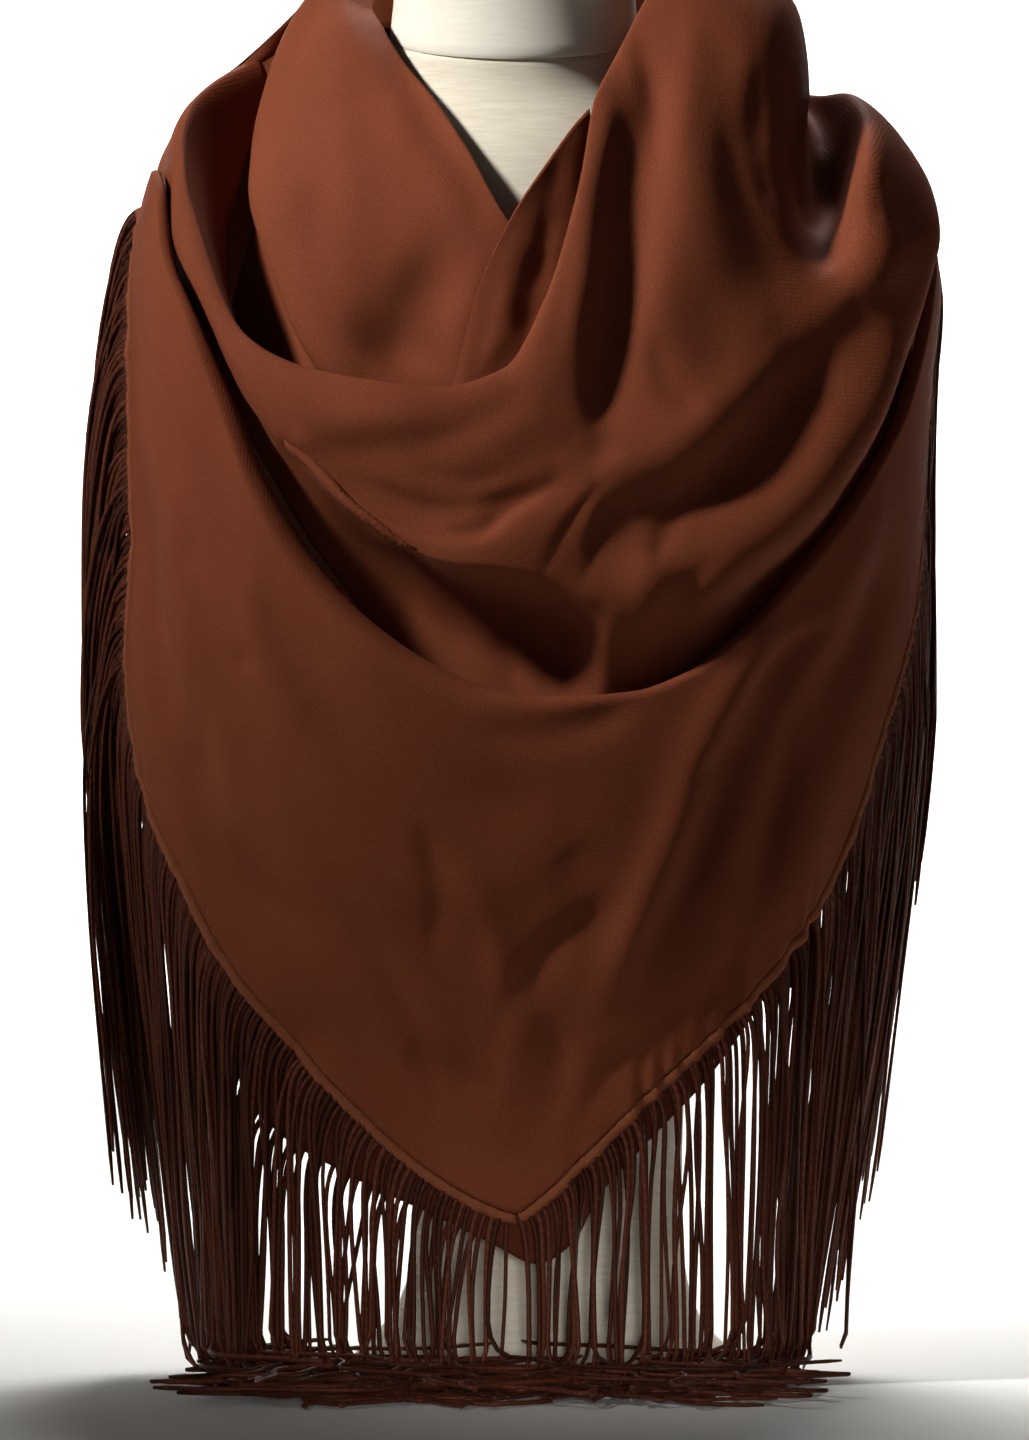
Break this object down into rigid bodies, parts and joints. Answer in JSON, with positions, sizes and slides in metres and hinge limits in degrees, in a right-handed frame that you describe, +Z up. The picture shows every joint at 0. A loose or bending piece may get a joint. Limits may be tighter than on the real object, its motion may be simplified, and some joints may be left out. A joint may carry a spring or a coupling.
{
  "type": "fringed scarf on a limbless dress form",
  "caption": "Square fringed scarf folded to a triangle and wrapped point down round the neck of a limbless tabletop dress form, with layered cowl folds and a long fringe that reaches the table.",
  "frame": {"origin": "middle of the whole part's foot print, on the table under it", "axes": "+Z up, -Y the front with the scarf's point, +X the wearer's left shoulder"},
  "size_m": [0.464, 0.3832, 0.757],
  "materials": {
    "linen": "matt coarse linen",
    "neck_linen": "smooth close linen",
    "satin": "soft satin sheen, doubled cloth",
    "satin_shade": "soft satin sheen, single cloth",
    "satin_hem": "narrow rolled hem, soft sheen",
    "fringe_yarn": "slack twisted silky yarn"
  },
  "bodies": {
    "root": {"dress_form": "linen", "neck_cap": "neck_linen", "collar_under": "satin", "collar_over": "satin", "cowl": "satin", "front_fall": "satin", "under_layer": "satin_shade", "back_fall": "satin", "hem_left": "satin_hem", "hem_right": "satin_hem", "hem_back": "satin_hem", "fringe_side_left": "fringe_yarn", "fringe_front_left": "fringe_yarn", "fringe_front_right": "fringe_yarn", "fringe_side_right": "fringe_yarn", "fringe_back": "fringe_yarn"}
  },
  "joints": []
}
